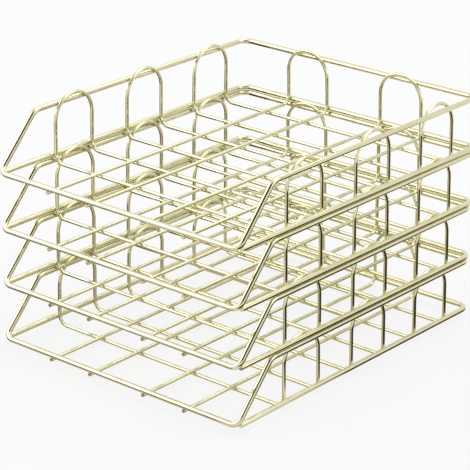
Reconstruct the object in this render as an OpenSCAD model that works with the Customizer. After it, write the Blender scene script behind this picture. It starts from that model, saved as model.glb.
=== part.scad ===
// Stack of bent-wire letter trays.
//
// Each tray is welded up from seven wires. The rim loop and the base frame are heavy wire. The hoops
// and the runners are thin wire: each forms arches of the walls and lines of the floor in one piece.
// The trays lift off one another. The base frame of a tray rests on the rim of the tray below, and
// its floor hangs inside that rim.
//
// X runs across the mouth, Y from the mouth to the back, and Z up. The origin is on the desk, under
// the middle of the stack. Sizes are in millimetres, and those of wire forms are to centre lines.

/* [Stack] */
// Number of trays
tray_count = 4; // [1:1:6]
// Air between a base frame and the butt weld of the rim that it rests on
stack_gap = 0.3; // [0.2:0.05:1]
// Air between the arches of a tray and the base wires that come down outside them
nest_gap = 0.45; // [0.3:0.05:1.5]

/* [Tray] */
// Width of the base frame
tray_w = 252; // [220:1:330]
// Depth of the base frame, from the front wire to the back wire
tray_d = 305; // [285:1:400]
// Height of the rim above the base frame
rim_h = 43.5; // [36:0.5:70]
// Length of tray that the sloping front of each side covers
slope_run = 40; // [25:1:60]
// Bend where the rim turns a back corner
back_bend_r = 9; // [6:0.5:20]
// Bend where the rim turns down into a sloping front
slope_bend_r = 10; // [6:0.5:20]
// Bend where a sloping front turns into the front wire
front_bend_r = 7; // [5:0.5:12]
// Distance from the front wire back to the ends of the base frame
base_end_back = 3; // [2:0.1:4]

/* [Wire] */
// Diameter of the rim loop and the base frame
heavy_d = 4.5; // [3.5:0.1:6]
// Diameter of the hoops and the runners
thin_d = 3; // [2:0.1:4]
// Loss of diameter where a wire stretches round a bend
bend_loss = 0.02; // [0.01:0.01:0.1]
// Depth that two wires sink into each other where they are welded
weld_bite = 0.15; // [0.05:0.05:0.3]
// Height of the ring of a butt weld above its wire
seam_proud = 0.12; // [0.05:0.01:0.3]
// Length of that ring along the wire
seam_l = 1.8; // [1:0.1:3]

/* [Arches] */
// Width of an arch, from leg to leg
arch_w = 43; // [30:1:50]
// Length of the nearly flat crown of an arch
crown_l = 1; // [0.5:0.5:10]
// Height of the side arches above the rim
side_rise = 6; // [4:0.5:12]
// Height of the back arches above the rim
back_rise = 5; // [4:0.5:12]
// Bend from a leg into a line of the floor
leg_bend_r = 8; // [6:0.5:12]
// Distance from the front wire back to the first leg
front_leg_y = 60; // [50:1:75]
// Distance from the last leg back to the back wire
back_leg_y = 30; // [20:1:40]
// Distance between the two arches of the back wall
back_arch_gap = 58; // [40:1:70]
// Distance that the ends of the runners stay behind the face of the front wire
runner_end_back = 0.5; // [0:0.1:2]

/* [Hidden] */
$fn = 48;
node = "all";
WIRES = ["rim_loop", "base_frame", "front_hoop", "middle_hoop", "rear_hoop", "left_runner", "right_runner"];
NODES = [for (tray = [1:tray_count]) for (name = WIRES) str("tray", tray, "_", name)];
brass = "#c9a961";
hoop_count = 3;

// Length that a bend reaches into the straight wire on each side of it
bend_lap = 0.1;

// Half sizes of the base frame, and of the rim, which stands inside it by the air the arches need
side_x = tray_w / 2;
end_y = tray_d / 2;
rim_inset = nest_gap + weld_bite;
rim_x = side_x - rim_inset;
rim_y = end_y - rim_inset;

// Distance between the centre lines of a thin wire and a heavy one that it is welded to
reach = (heavy_d + thin_d) / 2 - weld_bite;

// Heights of the floor: the runners pass under the front wire, and the hoops under the runners
runner_z = -reach;
hoop_z = runner_z - thin_d + weld_bite;
base_z = thin_d / 2 - hoop_z;
pitch = rim_h + heavy_d + seam_proud + stack_gap;

// Places of the arches: the hoops are spread evenly between the first and the last leg
arch_r = (arch_w - crown_l) / 2;
hoop_step = (tray_d - front_leg_y - back_leg_y - arch_w) / (hoop_count - 1);
runner_x = back_arch_gap / 2;

// ---- Paths of bent wire ----

function unit(v) = v / norm(v);

// Direction of the wire after point i of its path
function heading(path, i) = unit(path[i + 1] - path[i]);

// Angle through which the wire turns at point i
function turn(path, i) = acos(heading(path, i - 1) * heading(path, i));

// Length of path that the bend at point i takes from each side of the point
function setback(path, bends, i) =
    i == 0 || i == len(path) - 1 ? 0 : bends[i - 1] * tan(turn(path, i) / 2);

// Length of straight wire between the bends at points i - 1 and i
function straight(path, bends, i) =
    norm(path[i] - path[i - 1]) - setback(path, bends, i - 1) - setback(path, bends, i);

// Direction from the wire before point i to the centre of the bend there
function inward(path, i) =
    let (before = heading(path, i - 1), after = heading(path, i))
    unit(after - (after * before) * before);

// Rotation about the wire from the plane of the bend at point i to that of the next bend
function roll(path, i) =
    i > len(path) - 3 ? 0 :
    let (
        axis = cross(heading(path, i - 1), inward(path, i)),
        next = inward(path, i + 1)
    )
    atan2(next * axis, next * cross(axis, heading(path, i)));

// Bend of a wire that comes up the Z axis to the origin and turns towards X
module bend(r, angle, d) {
    lap = bend_lap / r * 180 / PI;
    translate([r, 0, 0])
        rotate([90, 0, 180])
            rotate_extrude(angle = angle + 2 * lap, start = -lap)
                translate([r, 0])
                    circle(d = d - bend_loss);
}

// Rest of a wire that comes from the bend at point i - 1 of its path, up the Z axis from the origin
module feed(path, bends, d, i) {
    run = straight(path, bends, i);
    cylinder(d = d, h = run);
    if (i < len(path) - 1) {
        r = bends[i - 1];
        angle = turn(path, i);
        translate([0, 0, run]) {
            bend(r, angle, d);
            translate([r, 0, 0])
                rotate([0, angle, 0])
                    translate([-r, 0, 0])
                        rotate([0, 0, roll(path, i)])
                            feed(path, bends, d, i + 1);
        }
    }
}

// Puts its children at the start of a path, with Z along the wire and X to the inside of the first bend
module at_start(path) {
    z = heading(path, 0);
    x = inward(path, 1);
    y = cross(z, x);
    multmatrix([
        [x.x, y.x, z.x, path[0].x],
        [x.y, y.y, z.y, path[0].y],
        [x.z, y.z, z.z, path[0].z],
        [0, 0, 0, 1]
    ])
        children();
}

// Wire with two free ends. Its path is bent at each inner point, to the radius that bends gives
module open_wire(path, bends, d) {
    at_start(path)
        feed(path, bends, d, 1);
}

// Wire whose ends are butt welded, some way along the run from the last corner to the first
module closed_wire(corners, bends, d, weld_at) {
    from = corners[len(corners) - 1];
    go = unit(corners[0] - from);
    weld = from + weld_at * go;
    ends_gap = seam_l / 4;
    open_wire(concat([weld + ends_gap * go], corners, [weld - ends_gap * go]), bends, d);
    at_start(concat([weld], corners))
        seam(d / 2);
}

// Ring of a butt weld round a wire of radius r along Z
module seam(r) {
    rotate_extrude()
        polygon([
            [0, -seam_l / 2],
            [r - seam_proud, -seam_l / 2],
            [r + seam_proud, -seam_l / 6],
            [r + seam_proud, seam_l / 6],
            [r - seam_proud, seam_l / 2],
            [0, seam_l / 2]
        ]);
}

// ---- Heavy wires ----

// Corners of the loop that makes the rim, the sloping fronts and the front wire
rim_corners = [
    [rim_x, rim_y, rim_h],
    [rim_x, slope_run - end_y, rim_h],
    [side_x, -end_y, 0],
    [-side_x, -end_y, 0],
    [-rim_x, slope_run - end_y, rim_h],
    [-rim_x, rim_y, rim_h]
];
rim_bends = [back_bend_r, slope_bend_r, front_bend_r, front_bend_r, slope_bend_r, back_bend_r];

// Rim, sloping fronts and front wire in one loop, butt welded in the middle of the back
module rim_loop(d = heavy_d) {
    closed_wire(rim_corners, rim_bends, d, rim_x);
}

// Sides and back of the base. Its ends are shaped to the front bends of the rim loop that they meet
module base_frame() {
    front_y = base_end_back - end_y;
    path = [[side_x, front_y, 0], [side_x, end_y, 0], [-side_x, end_y, 0], [-side_x, front_y, 0]];
    difference() {
        open_wire(path, [back_bend_r, back_bend_r], heavy_d);
        rim_loop(heavy_d - 2 * weld_bite);
    }
}

// ---- Thin wires ----

// Distance at height z from the centre line of the base frame in to a leg that bends into the floor
// at floor_z. The leg touches the rim, and below it the base frame, which its bend may meet first
function leg_inset(floor_z, z) =
    let (
        low_z = max(0, floor_z + leg_bend_r),
        low = sqrt((leg_bend_r + reach) ^ 2 - low_z ^ 2) - leg_bend_r,
        high = rim_inset + reach
    )
    low + (high - low) * (z - low_z) / (rim_h - low_z);

// Hoop with an arch in each side wall, joined by two lines across the floor
module hoop(index) {
    front_y = front_leg_y - end_y + index * hoop_step;
    back_y = front_y + arch_w;
    crown_z = rim_h + side_rise;
    foot_x = side_x - leg_inset(hoop_z, hoop_z);
    crown_x = side_x - leg_inset(hoop_z, crown_z);
    corners = [
        [-foot_x, front_y, hoop_z],
        [foot_x, front_y, hoop_z],
        [crown_x, front_y, crown_z],
        [crown_x, back_y, crown_z],
        [foot_x, back_y, hoop_z],
        [-foot_x, back_y, hoop_z],
        [-crown_x, back_y, crown_z],
        [-crown_x, front_y, crown_z]
    ];
    bends = [leg_bend_r, leg_bend_r, arch_r, arch_r, leg_bend_r, leg_bend_r, arch_r, arch_r];
    closed_wire(corners, bends, thin_d, crown_z - rim_h / 2);
}

// Runner with an arch in the back wall and two lines along the floor, on the side that side gives
module runner(side) {
    inner_x = side * runner_x;
    outer_x = side * (runner_x + arch_w);
    crown_z = rim_h + back_rise;
    front_y = runner_end_back - heavy_d / 2 - end_y;
    foot_y = end_y - leg_inset(runner_z, runner_z);
    crown_y = end_y - leg_inset(runner_z, crown_z);
    path = [
        [inner_x, front_y, runner_z],
        [inner_x, foot_y, runner_z],
        [inner_x, crown_y, crown_z],
        [outer_x, crown_y, crown_z],
        [outer_x, foot_y, runner_z],
        [outer_x, front_y, runner_z]
    ];
    open_wire(path, [leg_bend_r, arch_r, arch_r, leg_bend_r], thin_d);
}

// ---- Assembly ----

// Is this wire of a tray wanted?
function shown(tray, name) = node == "all" || node == str("tray", tray, "_", name);

for (tray = [1:tray_count])
    translate([0, 0, base_z + (tray - 1) * pitch])
        color(brass) {
            if (shown(tray, "rim_loop")) rim_loop();
            if (shown(tray, "base_frame")) base_frame();
            if (shown(tray, "front_hoop")) hoop(0);
            if (shown(tray, "middle_hoop")) hoop(1);
            if (shown(tray, "rear_hoop")) hoop(2);
            if (shown(tray, "left_runner")) runner(-1);
            if (shown(tray, "right_runner")) runner(1);
        }
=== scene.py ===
import math

import bmesh
import bpy
from mathutils import Matrix, Vector


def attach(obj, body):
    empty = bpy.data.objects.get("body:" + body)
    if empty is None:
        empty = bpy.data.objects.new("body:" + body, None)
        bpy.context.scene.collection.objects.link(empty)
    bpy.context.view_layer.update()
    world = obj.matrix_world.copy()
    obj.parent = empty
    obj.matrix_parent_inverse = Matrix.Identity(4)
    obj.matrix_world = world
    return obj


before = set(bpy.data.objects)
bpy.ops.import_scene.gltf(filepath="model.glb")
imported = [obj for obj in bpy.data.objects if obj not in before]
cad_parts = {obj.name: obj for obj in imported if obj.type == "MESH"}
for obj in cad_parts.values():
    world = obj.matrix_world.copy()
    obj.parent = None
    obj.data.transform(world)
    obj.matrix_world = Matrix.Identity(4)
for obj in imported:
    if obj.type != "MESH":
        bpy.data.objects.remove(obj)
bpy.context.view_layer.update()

# ---- Sizes of the trays, in metres, as in the CAD source ----

TRAYS = 4
HEAVY_R = 0.00225
THIN_R = 0.0015
BITE = 0.00015
SIDE_X = 0.126
END_Y = 0.1525
RIM_H = 0.0435
RIM_INSET = 0.0006
RIM_X = SIDE_X - RIM_INSET
RIM_Y = END_Y - RIM_INSET
ARCH_W = 0.043
ARCH_R = 0.021
LEG_BEND_R = 0.008
FRONT_BEND_R = 0.007
SIDE_RISE = 0.006
BACK_RISE = 0.005
SLOPE_TOP_Y = 0.04 - END_Y
FRAME_END_Y = 0.003 - END_Y
REACH = HEAVY_R + THIN_R - BITE
RUNNER_Z = -REACH
HOOP_Z = RUNNER_Z - 2 * THIN_R + BITE
BASE_Z = THIN_R - HOOP_Z
STACK_GAP = 0.00042
PITCH = RIM_H + 2 * HEAVY_R + STACK_GAP
HOOP_STEP = 0.086
HOOP_Y = [-0.0925, -0.0065, 0.0795]
RUNNER_X = [0.029, 0.072]

# Ways that wires run
ACROSS = (1, 0, 0)
BACK = (0, 1, 0)
UP = (0, 0, 1)
UP_SLOPE = (0, 0.6769, 0.7361)

# Beyond these, heavy wires run across, and thin wires stand up as legs
ACROSS_Y = 0.1493
LEG_X = 0.1175
LEG_Y = 0.1445

# Length along a wall, either way from a hoop's front leg, that holds no other leg
LEG_ROOM = 0.02

# Heights above the base frame that a rim loop and a hoop stay over, and where the next frame's seat begins
RIM_LOWEST = -0.0025
HOOP_LOWEST = -0.009
SEAT_H = RIM_H - 0.0005

# Where the mark of a weld or a cut begins to fade, and where it is gone
RIM_SEAM_MARK = (0.0012, 0.0048)
HOOP_SEAM_MARK = (0.0010, 0.0042)
FRAME_END_MARK = (-0.1485, -0.1455)
RUNNER_END_MARK = (-0.1532, -0.1500)

# Fineness of the drawn lines, across a wire and along it
FINE = 5200.0
SLOW = 55.0

# Colours of the brass
DEEP_BRASS = (0.69, 0.653, 0.405, 1)
PALE_BRASS = (0.755, 0.727, 0.485, 1)
CLOUDED_BRASS = (0.60, 0.553, 0.325, 1)
PITTED_BRASS = (0.42, 0.34, 0.19, 1)
RUBBED_BRASS = (0.66, 0.625, 0.46, 1)
HEATED_BRASS = (0.60, 0.535, 0.31, 1)
WELD_BRASS = (0.74, 0.70, 0.44, 1)
SOOTY_BRASS = (0.56, 0.505, 0.29, 1)
WHITE = (1, 1, 1, 1)

# The bead round a frame end: its radius, the points of its ring, and the sides of its section
BEAD_R = 0.00042
BEAD_POINTS = 30
BEAD_SIDES = 10


# ---- Node trees written as expressions ----

class Flow:
    """A socket of a node tree. Arithmetic on it adds Math nodes to that tree."""

    def __init__(self, tree, socket=None):
        self.tree, self.socket = tree, socket

    def node(self, kind, settings=None, values=None, out=0):
        """Adds a node, sets its settings and then its sockets, and gives the output asked for."""
        made = self.tree.nodes.new(kind)
        for key, value in (settings or {}).items():
            setattr(made, key, value)
        for key, value in (values or {}).items():
            if isinstance(value, Flow):
                self.tree.links.new(value.socket, made.inputs[key])
            else:
                made.inputs[key].default_value = value
        return Flow(self.tree, made.outputs[out] if made.outputs else None)

    def math(self, operation, *values):
        """A Math node with the values given."""
        return self.node("ShaderNodeMath", {"operation": operation}, dict(enumerate(values)))

    def __add__(self, other): return self.math("ADD", self, other)
    def __radd__(self, other): return self.math("ADD", other, self)
    def __sub__(self, other): return self.math("SUBTRACT", self, other)
    def __rsub__(self, other): return self.math("SUBTRACT", other, self)
    def __mul__(self, other): return self.math("MULTIPLY", self, other)
    def __rmul__(self, other): return self.math("MULTIPLY", other, self)
    def __truediv__(self, other): return self.math("DIVIDE", self, other)
    def __rtruediv__(self, other): return self.math("DIVIDE", other, self)
    def __neg__(self): return self.math("MULTIPLY", self, -1.0)
    def __gt__(self, other): return self.math("GREATER_THAN", self, other)
    def __lt__(self, other): return self.math("LESS_THAN", self, other)
    def __abs__(self): return self.math("ABSOLUTE", self)

    def rise(self, low, high):
        """0 below low, 1 above high, and smooth between them."""
        return self.node("ShaderNodeMapRange", {"interpolation_type": "SMOOTHSTEP"},
                         {"Value": self, "From Min": low, "From Max": high})

    def noise(self, scale, detail):
        """Soft noise at this place."""
        return self.node("ShaderNodeTexNoise", None, {"Vector": self, "Scale": scale, "Detail": detail})

    def blend(self, first, second):
        """The first colour where this is 0, and the second where it is 1."""
        return self.node("ShaderNodeMix", {"data_type": "RGBA"}, {0: self, 6: first, 7: second}, out=2)

    def parts(self):
        """X, Y and Z of a vector."""
        split = self.node("ShaderNodeSeparateXYZ", None, {0: self}).socket.node
        return [Flow(self.tree, split.outputs[i]) for i in range(3)]

    def vector(self, x, y, z):
        """A vector of these three parts."""
        return self.node("ShaderNodeCombineXYZ", None, {0: x, 1: y, 2: z})


def blank_material(name):
    """A new material with an empty node tree, and the start of its expressions."""
    material = bpy.data.materials.new(name)
    material.use_nodes = True
    material.node_tree.nodes.clear()
    return material, Flow(material.node_tree)


def added(name, data):
    """A new object of the scene with the data given."""
    made = bpy.data.objects.new(name, data)
    bpy.context.scene.collection.objects.link(made)
    return made


# ---- Finishes ----

def drawn_lines(place, along):
    """Fine lines that the drawing die leaves along a wire that runs in the direction given."""
    axes = place.parts()
    run = axes[0] * along[0] + axes[1] * along[1] + axes[2] * along[2]
    return place.vector(*(axis * FINE - run * (part * (FINE - SLOW))
                          for axis, part in zip(axes, along))).noise(1.0, 2.0)


def either_lines(place, where, there, elsewhere):
    """Drawn lines that run one way where asked, and another way elsewhere."""
    return drawn_lines(place, there) * where + drawn_lines(place, elsewhere) * (1 - where)


def coated_brass(start, tone, roughness, bump, coat, coat_roughness):
    """Ends a material as brass of this tone under a thin clear lacquer."""
    shader = start.node("ShaderNodeBsdfPrincipled", None, {
        "Base Color": tone, "Metallic": 1.0, "Roughness": roughness, "Normal": bump,
        "Coat Weight": coat, "Coat Roughness": coat_roughness})
    start.node("ShaderNodeOutputMaterial", None, {"Surface": shader})


def plated_brass(name, lines, rubbed, heated):
    """Polished pale brass plating over drawn steel wire.

    lines gives the drawn lines at a place of the wire, rubbed how far use has dulled it there, and
    heated how strongly a weld or a cut has marked it, where it is browner and less even."""
    material, start = blank_material(name)
    place = start.node("ShaderNodeTexCoord", out="Object")
    facing = start.node("ShaderNodeNewGeometry", out="Normal")
    bath = place.noise(22.0, 3.0)
    cloud = place.noise(170.0, 3.0)
    pits = place.noise(1500.0, 1.0).rise(0.70, 0.76)
    die = lines(place)
    rub = rubbed(place, facing)
    heat = heated(place)
    tone = bath.rise(0.36, 0.64).blend(DEEP_BRASS, PALE_BRASS)
    for share, colour in ((cloud.rise(0.5, 0.8) * 0.3, CLOUDED_BRASS), (pits * 0.25, PITTED_BRASS),
                          (rub * 0.35, RUBBED_BRASS), (heat * 0.5, HEATED_BRASS)):
        tone = share.blend(tone, colour)
    roughness = (0.075 + heat * 0.10 + cloud.rise(0.35, 0.7) * 0.035 + die.rise(0.5, 0.8) * 0.03
                 + pits * 0.10 + rub * 0.14)
    height = die * 0.35 + cloud * 0.8 - pits * 0.5
    bump = start.node("ShaderNodeBump", None, {"Strength": 0.018, "Distance": 0.0001, "Height": height})
    coated_brass(start, tone, roughness, bump, 0.3, 0.05)
    return material


def weld_metal(name):
    """Plated weld metal: the same brass over a rougher, slightly rippled surface, with duller patches."""
    material, start = blank_material(name)
    place = start.node("ShaderNodeTexCoord", out="Object")
    ripples = place.noise(900.0, 3.0)
    soot = place.noise(320.0, 2.0)
    tone = soot.rise(0.4, 0.75).blend(WELD_BRASS, SOOTY_BRASS)
    bump = start.node("ShaderNodeBump", None, {"Strength": 0.2, "Distance": 0.0002, "Height": ripples})
    coated_brass(start, tone, 0.16 + ripples.rise(0.4, 0.7) * 0.14, bump, 0.2, 0.1)
    return material


def rim_lines(place):
    """The loop runs across at the front and the back, back at the sides, and up the slopes between."""
    y = place.parts()[1]
    across = abs(y) > ACROSS_Y
    slope = (y < SLOPE_TOP_Y) * (1 - across)
    side = (1 - across) * (1 - slope)
    return (drawn_lines(place, ACROSS) * across + drawn_lines(place, BACK) * side
            + drawn_lines(place, UP_SLOPE) * slope)


def frame_lines(place):
    """The frame runs across at the back, and back at the sides."""
    return either_lines(place, place.parts()[1] > ACROSS_Y, ACROSS, BACK)


def hoop_lines(place):
    """A hoop stands up at the walls, and runs across the floor."""
    return either_lines(place, abs(place.parts()[0]) > LEG_X, UP, ACROSS)


def runner_lines(place):
    """A runner stands up at the back wall, and runs back along the floor."""
    return either_lines(place, place.parts()[1] > LEG_Y, UP, BACK)


def height_in_tray(place, lowest):
    """Height above the base frame of a place's own tray, for a wire that stays over the lowest given."""
    z = place.parts()[2]
    return place.math("FLOORED_MODULO", z - (BASE_Z + lowest), PITCH) + lowest


def rubbed_rim(place, facing):
    """Paper slides over the front wire, and the next tray's frame rests on every rim but the top one."""
    x, y, z = place.parts()
    up = facing.parts()[2]
    streaks = place.vector(x * 900.0, y * 60.0, z * 60.0).noise(1.0, 3.0)
    front = (y < -ACROSS_Y) * up.rise(0.25, 0.9) * streaks.rise(0.40, 0.66)
    under_tray = z < BASE_Z + (TRAYS - 1) * PITCH
    seat = (height_in_tray(place, RIM_LOWEST) > SEAT_H) * under_tray * up.rise(0.86, 0.98)
    return front * 0.8 + seat * 0.7


def rubbed_frame(place, facing):
    """The frame's underside rests on the rim of the tray below."""
    return (-facing.parts()[2]).rise(0.80, 0.98) * 0.8


def rubbed_floor(place, facing):
    """Paper lies on the upper side of the floor lines."""
    x, y = place.parts()[:2]
    floor_line = (abs(x) < LEG_X) * (y < LEG_Y)
    scuffs = place.noise(480.0, 2.0)
    return facing.parts()[2].rise(0.55, 0.95) * floor_line * scuffs.rise(0.42, 0.62) * 0.7


def heated_rim(place):
    """The rim loop is butt welded in the middle of the back."""
    x, y = place.parts()[:2]
    return (y > ACROSS_Y) * (1 - abs(x).rise(*RIM_SEAM_MARK))


def heated_frame(place):
    """The frame's two ends are welded to the front bends of the rim loop."""
    return (1 - place.parts()[1].rise(*FRAME_END_MARK)) * 0.5


def heated_hoop(place):
    """A hoop is butt welded half way up its front left leg."""
    x, y = place.parts()[:2]
    front = place.math("FLOORED_MODULO", y - (HOOP_Y[0] - LEG_ROOM), HOOP_STEP) < 2 * LEG_ROOM
    from_seam = abs(height_in_tray(place, HOOP_LOWEST) - RIM_H / 2)
    return (x < -LEG_X) * front * (1 - from_seam.rise(*HOOP_SEAM_MARK))


def heated_runner(place):
    """A runner's two ends are cut after bending, and its drawn skin is scuffed for a few millimetres."""
    return (1 - place.parts()[1].rise(*RUNNER_END_MARK)) * 0.6


finishes = {
    "rim_loop": plated_brass("rim_brass", rim_lines, rubbed_rim, heated_rim),
    "base_frame": plated_brass("frame_brass", frame_lines, rubbed_frame, heated_frame),
    "hoop": plated_brass("hoop_brass", hoop_lines, rubbed_floor, heated_hoop),
    "runner": plated_brass("runner_brass", runner_lines, rubbed_floor, heated_runner),
}
weld_brass = weld_metal("weld_brass")

for node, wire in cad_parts.items():
    kind = next(k for k in finishes if node.endswith(k))
    for slot in wire.material_slots:
        slot.material = finishes[kind]


# ---- Spot welds ----

def arch_at_rim(rise):
    """How far an arch that stands this high over the rim has bent in at the rim, and its slant there."""
    over_middle = ARCH_R - rise
    return ARCH_R - math.sqrt(ARCH_R ** 2 - over_middle ** 2), math.acos(over_middle / ARCH_R)


HOOP_IN, HOOP_SLANT = arch_at_rim(SIDE_RISE)
RUNNER_IN, RUNNER_SLANT = arch_at_rim(BACK_RISE)
FOOT_CURVE = 1 / (LEG_BEND_R + THIN_R)

# What each class of weld sets apart from a thin wire that crosses a heavy one squarely
WELD_SIZES = {
    "hoop_rim_fore": {"Angle": math.pi - HOOP_SLANT},
    "hoop_rim_aft": {"Angle": HOOP_SLANT},
    "runner_rim_in": {"Angle": math.pi - RUNNER_SLANT},
    "runner_rim_out": {"Angle": RUNNER_SLANT},
    "hoop_frame": {"Curve above": FOOT_CURVE},
    "runner_frame": {"Curve above": FOOT_CURVE},
    "runner_front": {},
    "crossing": {"Radius below": THIN_R},
}


def weld_tree(name):
    """Nodes that put a spot weld at each point of a mesh.

    A weld is a small collar in the crevice between two wires that touch. It has feet on both wires and
    a waist between them, and its ends are sunk in the wires. In a weld's own frame the wire below runs
    along X and the wire above along the angle given. Each point carries the weld's frame as two
    vectors."""
    tree = bpy.data.node_groups.new(name, "GeometryNodeTree")
    sizes = [("Radius below", HEAVY_R), ("Radius above", THIN_R), ("Angle", math.pi / 2),
             ("Curve above", 0.0), ("Foot gap", 0.0006), ("Waist gap", 0.00022)]
    tree.interface.new_socket("Geometry", in_out="INPUT", socket_type="NodeSocketGeometry")
    for label, value in sizes:
        socket = tree.interface.new_socket(label, in_out="INPUT", socket_type="NodeSocketFloat")
        socket.default_value = value
    tree.interface.new_socket("Finish", in_out="INPUT", socket_type="NodeSocketMaterial")
    tree.interface.new_socket("Geometry", in_out="OUTPUT", socket_type="NodeSocketGeometry")
    start = Flow(tree)
    inputs = tree.nodes.new("NodeGroupInput")
    given = {socket.name: Flow(tree, socket) for socket in inputs.outputs if socket.name}
    radius_below, radius_above, curve = given["Radius below"], given["Radius above"], given["Curve above"]

    # The levels of the collar are -2 and 2 at its sunk ends, -1 and 1 at its feet, and 0 at its waist
    collar = start.node("GeometryNodeMeshCylinder", {"fill_type": "NGON"},
                        {"Vertices": 14, "Side Segments": 4, "Fill Segments": 1, "Radius": 1.0, "Depth": 4.0})
    x, y, level = start.node("GeometryNodeInputPosition").parts()
    buried = abs(level) > 1.5
    waist = abs(level) < 0.5
    heading = start.math("ARCTAN2", y, x)
    off_below = start.math("SINE", heading)
    off_above = start.math("SINE", heading - given["Angle"])
    on_above = start.math("COSINE", heading - given["Angle"])
    bow = (off_below * off_below / radius_below + off_above * off_above / radius_above
           + on_above * on_above * curve)
    gap = given["Foot gap"] + waist * (given["Waist gap"] - given["Foot gap"])
    reach = start.math("SQRT", 2 * gap / bow) * (1 - buried * 0.25)

    def drop(radius, off):
        """How far a round surface falls away at a distance off to its side."""
        room = start.math("MAXIMUM", radius * radius - off * off, 0.0)
        return radius - start.math("SQRT", room)

    below = -drop(radius_below, reach * off_below)
    above = drop(radius_above, reach * off_above) + reach * reach * on_above * on_above * curve / 2
    sunk = buried * 0.0005
    height = (waist * ((below + above) / 2)
              + (1 - waist) * ((level > 0) * (above + sunk) + (level < 0) * (below - sunk)))
    shaped = start.node("GeometryNodeSetPosition", None, {
        "Geometry": collar,
        "Position": start.vector(reach * start.math("COSINE", heading), reach * off_below, height)})
    smooth = start.node("GeometryNodeSetShadeSmooth", None, {0: shaped})
    along, out = (
        start.node("GeometryNodeInputNamedAttribute", {"data_type": "FLOAT_VECTOR"}, {"Name": label})
        for label in ("wire_below", "way_up"))
    turned = start.node("FunctionNodeAxesToRotation", {"primary_axis": "Z", "secondary_axis": "X"},
                        {0: out, 1: along})
    dots = start.node("GeometryNodeMeshToPoints", None, {"Mesh": given["Geometry"]})
    placed = start.node("GeometryNodeInstanceOnPoints", None,
                        {"Points": dots, "Instance": smooth, "Rotation": turned})
    real = start.node("GeometryNodeRealizeInstances", None, {0: placed})
    dressed = start.node("GeometryNodeSetMaterial", None, {"Geometry": real, "Material": given["Finish"]})
    outputs = tree.nodes.new("NodeGroupOutput")
    tree.links.new(dressed.socket, outputs.inputs[0])
    return tree


def weld_points(name, welds):
    """Loose points with each weld's frame. A weld is its place, the way of the wire below and the way up."""
    mesh = bpy.data.meshes.new(name)
    mesh.from_pydata([weld[0] for weld in welds], [], [])
    for label, k in (("wire_below", 1), ("way_up", 2)):
        layer = mesh.attributes.new(label, "FLOAT_VECTOR", "POINT")
        for i, weld in enumerate(welds):
            layer.data[i].vector = weld[k]
    return added(name, mesh)


def made_welds(name, welds, tree, sizes):
    """The welds of one class, as a mesh."""
    dots = weld_points(name, welds)
    modifier = dots.modifiers.new("welds", "NODES")
    modifier.node_group = tree
    names = {item.name: item.identifier for item in tree.interface.items_tree
             if item.item_type == "SOCKET" and item.in_out == "INPUT"}
    for label, value in sizes.items():
        modifier[names[label]] = value
    modifier[names["Finish"]] = weld_brass
    bpy.context.view_layer.update()
    graph = bpy.context.evaluated_depsgraph_get()
    mesh = bpy.data.meshes.new_from_object(dots.evaluated_get(graph))
    dots.modifiers.remove(modifier)
    bpy.data.objects.remove(dots)
    return mesh


def foot_weld(base, inward, along, floor_z):
    """The weld where the bend of a leg's foot meets a base wire that runs along the way given."""
    low = floor_z + LEG_BEND_R
    across = math.sqrt((LEG_BEND_R + REACH) ** 2 - low ** 2)
    out = (Vector(inward) * across + Vector(UP) * low).normalized()
    return Vector(base) + out * (HEAVY_R - BITE / 2), along, out


def tray_welds(z):
    """A tray's spot welds by class, for a base frame at height z."""
    heavy, thin = HEAVY_R - BITE / 2, THIN_R - BITE / 2
    made = {label: [] for label in WELD_SIZES}
    for front in HOOP_Y:
        for y, lean, label in ((front, 1, "hoop_rim_fore"), (front + ARCH_W, -1, "hoop_rim_aft")):
            for side in (-1, 1):
                made[label].append(((side * (RIM_X - heavy), y + lean * HOOP_IN, z + RIM_H),
                                    (0, side, 0), (-side, 0, 0)))
                made["hoop_frame"].append(foot_weld((side * SIDE_X, y, z), (-side, 0, 0), BACK, HOOP_Z))
            for x in RUNNER_X:
                for side in (-1, 1):
                    made["crossing"].append(((side * x, y, z + HOOP_Z + thin), ACROSS, UP))
    for side in (-1, 1):
        for x, lean, label in ((RUNNER_X[0], 1, "runner_rim_in"), (RUNNER_X[1], -1, "runner_rim_out")):
            made[label].append(((side * (x + lean * RUNNER_IN), RIM_Y - heavy, z + RIM_H),
                                (side, 0, 0), (0, -1, 0)))
            made["runner_frame"].append(foot_weld((side * x, END_Y, z), (0, -1, 0), ACROSS, RUNNER_Z))
            made["runner_front"].append(((side * x, -END_Y, z - heavy), ACROSS, (0, 0, -1)))
    return made


def weld_piece(name, shape):
    """A smooth piece of weld metal from a shape, which is used up."""
    for face in shape.faces:
        face.smooth = True
    mesh = bpy.data.meshes.new(name)
    shape.to_mesh(mesh)
    shape.free()
    mesh.materials.append(weld_brass)
    return added(name, mesh)


def spot_welds(tray, tree):
    """All the spot welds of one tray, as one piece."""
    whole = bmesh.new()
    for label, welds in tray_welds(BASE_Z + (tray - 1) * PITCH).items():
        mesh = made_welds(label, welds, tree, WELD_SIZES[label])
        whole.from_mesh(mesh)
        bpy.data.meshes.remove(mesh)
    return weld_piece(f"tray{tray}_spot_welds", whole)


welds_tree = weld_tree("spot_weld")
for tray in range(1, TRAYS + 1):
    piece = spot_welds(tray, welds_tree)
    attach(piece, f"tray{tray}")


# ---- Welds of the frame ends ----

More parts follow.
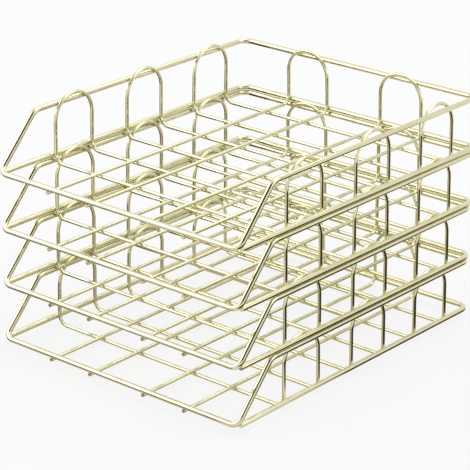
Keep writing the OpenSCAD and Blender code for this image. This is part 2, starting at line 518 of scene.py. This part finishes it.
def rim_gap(place):
    """Distance from a place near the right front bend of a rim loop, in its tray, to the loop's skin."""
    top = Vector((RIM_X, SLOPE_TOP_Y, RIM_H))
    corner = Vector((SIDE_X, -END_Y, 0))
    down, across = (corner - top).normalized(), Vector((-1, 0, 0))
    turn = down.angle(across)
    setback = FRONT_BEND_R * math.tan(turn / 2)
    first, last = corner - down * setback, corner + across * setback
    inward = (across - down * down.dot(across)).normalized()
    axis = down.cross(inward)
    off = place - first - inward * FRONT_BEND_R
    height = off.dot(axis)
    flat = off - axis * height
    if 0 <= math.atan2(flat.dot(down), -flat.dot(inward)) <= turn:
        near = math.hypot(flat.length - FRONT_BEND_R, height)
    else:
        runs = []
        for a, b in ((top, first), (last, Vector((-SIDE_X, -END_Y, 0)))):
            t = min(1, max(0, (place - a).dot(b - a) / (b - a).length_squared))
            runs.append((place - a - (b - a) * t).length)
        near = min(runs)
    return near - HEAVY_R


def frame_skin(turn, out, back=0.0):
    """A place on the cut end of the right side wire, or on its skin behind the cut."""
    return Vector((SIDE_X + out * math.cos(turn), FRAME_END_Y + back, out * math.sin(turn)))


def crossing(inside, outside, spot):
    """The value between two others where spot(value) lies on the rim loop's skin."""
    for _ in range(24):
        half = (inside + outside) / 2
        inside, outside = (half, outside) if rim_gap(spot(half)) < 0 else (inside, half)
    return inside


def weld_line():
    """The closed line where the end of a frame's side wire sinks into the front bend."""
    sunk, clear_outside, clear_underneath = (math.radians(turn) for turn in (118, 20, 220))
    first, last = (crossing(sunk, clear, lambda turn: frame_skin(turn, HEAVY_R))
                   for clear in (clear_outside, clear_underneath))
    steps, clear_back = 18, 0.006
    turns = [first + (last - first) * i / steps for i in range(steps + 1)]
    skin = [frame_skin(turn, HEAVY_R, crossing(0.0, clear_back, lambda back: frame_skin(turn, HEAVY_R, back)))
            for turn in turns]
    cut = [frame_skin(turn, crossing(HEAVY_R, 0.0, lambda out: frame_skin(turn, out)))
           for turn in reversed(turns[1:-1])]
    return skin + cut


def even_loop(line, count):
    """The same closed line, with its points spread evenly and eased."""
    steps = [(line[(i + 1) % len(line)] - p).length for i, p in enumerate(line)]
    whole, made, i, gone = sum(steps), [], 0, 0.0
    for k in range(count):
        while gone + steps[i] < whole * k / count:
            gone += steps[i]
            i += 1
        made.append(line[i].lerp(line[(i + 1) % len(line)], (whole * k / count - gone) / steps[i]))
    for _ in range(2):
        made = [(made[k - 1] + 2 * made[k] + made[(k + 1) % count]) / 4 for k in range(count)]
    return made


def frame_end_welds(tray, line):
    """The two beads of a tray, each a ring of weld metal squeezed out round the end of a side wire."""
    z = BASE_Z + (tray - 1) * PITCH
    beads = bmesh.new()
    centre = sum(line, Vector()) / len(line)
    for side in (-1, 1):
        rings = []
        for k, place in enumerate(line):
            along = (line[(k + 1) % len(line)] - line[k - 1]).normalized()
            out = place - centre
            out = (out - along * out.dot(along)).normalized()
            over = along.cross(out)
            size = BEAD_R * (1 + 0.13 * math.sin(5 * k * math.tau / len(line) + tray * 1.7 + side))
            ring = []
            for j in range(BEAD_SIDES):
                turn = math.tau * j / BEAD_SIDES
                spot = place + out * size * math.cos(turn) + over * size * math.sin(turn)
                ring.append(beads.verts.new((side * spot.x, spot.y, spot.z + z)))
            rings.append(ring)
        for k, ring in enumerate(rings):
            after = rings[(k + 1) % len(rings)]
            for j in range(BEAD_SIDES):
                beside = (j + 1) % BEAD_SIDES
                beads.faces.new((ring[j], ring[beside], after[beside], after[j]))
    bmesh.ops.recalc_face_normals(beads, faces=beads.faces)
    return weld_piece(f"tray{tray}_frame_end_welds", beads)


bead_line = even_loop(weld_line(), BEAD_POINTS)
for tray in range(1, TRAYS + 1):
    piece = frame_end_welds(tray, bead_line)
    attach(piece, f"tray{tray}")


# ---- Studio ----

def ray_is(start, kind):
    """Whether a ray is of this kind."""
    return start.node("ShaderNodeLightPath", out=f"Is {kind} Ray")


def ray_shows(start):
    """Whether a ray shows what it meets: to the eye, in a reflection or through a clear surface."""
    indirect = start.math("MAXIMUM", ray_is(start, "Glossy"), ray_is(start, "Transmission"))
    return start.math("MAXIMUM", ray_is(start, "Camera"), indirect)


def floor_paint(name, colour, glow):
    """Paint of the floor: pale to the eye and in reflections, and lit enough to keep a shadow."""
    material, start = blank_material(name)
    lit = start.node("ShaderNodeBsdfDiffuse", None, {"Color": (*colour, 1), "Roughness": 0.7})
    glowing = start.node("ShaderNodeEmission", None, {"Color": WHITE, "Strength": 1.0})
    mixed = start.node("ShaderNodeMixShader", None, {0: ray_shows(start) * glow, 1: lit, 2: glowing})
    start.node("ShaderNodeOutputMaterial", None, {"Surface": mixed})
    return material


def card_paper(name, colour):
    """Glowing paper of a card that only the metal sees, which paints a reflection on the brass."""
    material, start = blank_material(name)
    start.node("ShaderNodeOutputMaterial", None, {
        "Surface": start.node("ShaderNodeEmission", None, {"Color": (*colour, 1), "Strength": 1.0})})
    return material


def sheet(name, corners, material):
    """A flat piece of the studio with the corners given."""
    mesh = bpy.data.meshes.new(name)
    mesh.from_pydata(corners, [], [tuple(range(len(corners)))])
    mesh.materials.append(material)
    made = added(name, mesh)
    return made


def card(name, corners, material):
    """A flat card that shows in reflections only, and casts no shadow."""
    made = sheet(name, corners, material)
    made.visible_camera = made.visible_diffuse = made.visible_shadow = made.visible_transmission = False


def floor_card(name, corners, level, material):
    """A card that lies at this level, just over the floor."""
    card(name, [(x, y, level) for x, y in corners], material)


def sky_card(name, azimuth, elevation, distance, width, height, material):
    """A card that faces the trays from a direction, in degrees from the X axis and above the floor."""
    a, e = math.radians(azimuth), math.radians(elevation)
    out = Vector((math.cos(a) * math.cos(e), math.sin(a) * math.cos(e), math.sin(e)))
    side = Vector((-math.sin(a), math.cos(a), 0))
    rise = out.cross(side)
    middle = out * distance + Vector((0, 0, 0.1))
    card(name, [middle + side * i * width / 2 + rise * j * height / 2
                for i, j in ((-1, -1), (1, -1), (1, 1), (-1, 1))], material)


sheet("floor", [(-15, -15, 0), (15, -15, 0), (15, 15, 0), (-15, 15, 0)],
      floor_paint("pale_floor", (0.90, 0.90, 0.895), 0.80))

# Painted reflections: dark and brown cards that only the metal sees stand in for a dark room and desk, and
# paint the dark bands along the wires
painted_dark_reflection = card_paper("painted_dark_reflection", (0.055, 0.045, 0.026))
painted_brown_reflection = card_paper("painted_brown_reflection", (0.36, 0.31, 0.24))
# Painted shade: a tan sheet that only the metal sees, standing in for the shade on the floor under the trays
painted_under_shade = card_paper("painted_under_shade", (0.55, 0.51, 0.43))
beside = [(0.1295, 0.32), (0.1295, -0.01), (0.2, -0.2), (0.25, -0.5), (0.75, -0.5), (0.75, 0.32)]
before = [(-0.6, -0.158), (-0.6, -0.25), (0.12, -0.25), (0.1, -0.158)]
under = [(-0.13, -0.156), (0.13, -0.156), (0.13, 0.156), (-0.13, 0.156)]
floor_card("card_floor_right", beside, 0.0006, painted_dark_reflection)
floor_card("card_floor_left", [(-x, -y) for x, y in beside], 0.0006, painted_dark_reflection)
floor_card("card_floor_front", before, 0.0007, painted_brown_reflection)
# Painted shade under the trays' footprint, seen only in reflections, which darkens the wires' undersides
floor_card("card_painted_under_shade", under, 0.0004, painted_under_shade)
# Painted reflection: a dark card high on the right, seen only by the metal, paints a dark band on the wires
sky_card("card_high_right", azimuth=-50, elevation=47, distance=1.3, width=1.25, height=0.8,
         material=painted_dark_reflection)

world = bpy.data.worlds.new("studio")
bpy.context.scene.world = world
world.use_nodes = True
world.node_tree.nodes.clear()
sky = Flow(world.node_tree)
# The eye sees the backdrop as pale as the far end of the floor, so no horizon shows
backdrop = sky.node("ShaderNodeBackground", None, {
    "Color": WHITE, "Strength": 1 - ray_is(sky, "Camera") * 0.107})
room = sky.node("ShaderNodeBackground", None, {"Color": (0.93, 0.96, 1.0, 1), "Strength": 0.55})
sky.node("ShaderNodeOutputWorld", None, {
    "Surface": sky.node("ShaderNodeMixShader", None, {0: ray_shows(sky), 1: room, 2: backdrop})})


def soft_light(name, place, size, power, colour):
    """A square lamp that faces the trays. The eye doesn't see it."""
    light = bpy.data.lights.new(name, "AREA")
    light.shape, light.size, light.energy, light.color = "SQUARE", size, power, colour
    made = added(name, light)
    made.location = place
    made.rotation_euler = (Vector((0, 0, 0.1)) - Vector(place)).to_track_quat("-Z", "Y").to_euler()
    made.visible_camera = False


soft_light("window", (-1.3, -1.0, 1.1), size=1.4, power=13, colour=(1.0, 0.99, 0.96))
soft_light("overhead", (0.2, 0.7, 1.9), size=1.6, power=14, colour=(1, 1, 1))
soft_light("fill", (1.7, 0.9, 0.7), size=0.9, power=4, colour=(1.0, 0.98, 0.94))


# ---- Camera, at the photograph's place ----

def photo_camera(place, azimuth, pitch, roll, lens):
    """Camera that looks along the azimuth, turned down by the pitch and rolled about its own axis."""
    a, e, r = (math.radians(v) for v in (azimuth, pitch, roll))
    ahead = Vector((-math.sin(a) * math.cos(e), math.cos(a) * math.cos(e), -math.sin(e)))
    right = Vector((math.cos(a), math.sin(a), 0))
    up = right.cross(ahead)
    across = math.cos(r) * right + math.sin(r) * up
    upright = -math.sin(r) * right + math.cos(r) * up
    data = bpy.data.cameras.new("photo_camera")
    data.lens, data.sensor_width, data.sensor_fit = lens, 36.0, "HORIZONTAL"
    data.clip_start, data.clip_end = 0.05, 60
    made = added("photo_camera", data)
    made.matrix_world = Matrix((
        (across.x, upright.x, -ahead.x, place[0]),
        (across.y, upright.y, -ahead.y, place[1]),
        (across.z, upright.z, -ahead.z, place[2]),
        (0, 0, 0, 1)))
    bpy.context.scene.camera = made


photo_camera((1.1156, -1.3263, 0.7760), azimuth=40.244, pitch=21.688, roll=0.374, lens=171.8)
bpy.context.scene.view_settings.view_transform = "Standard"
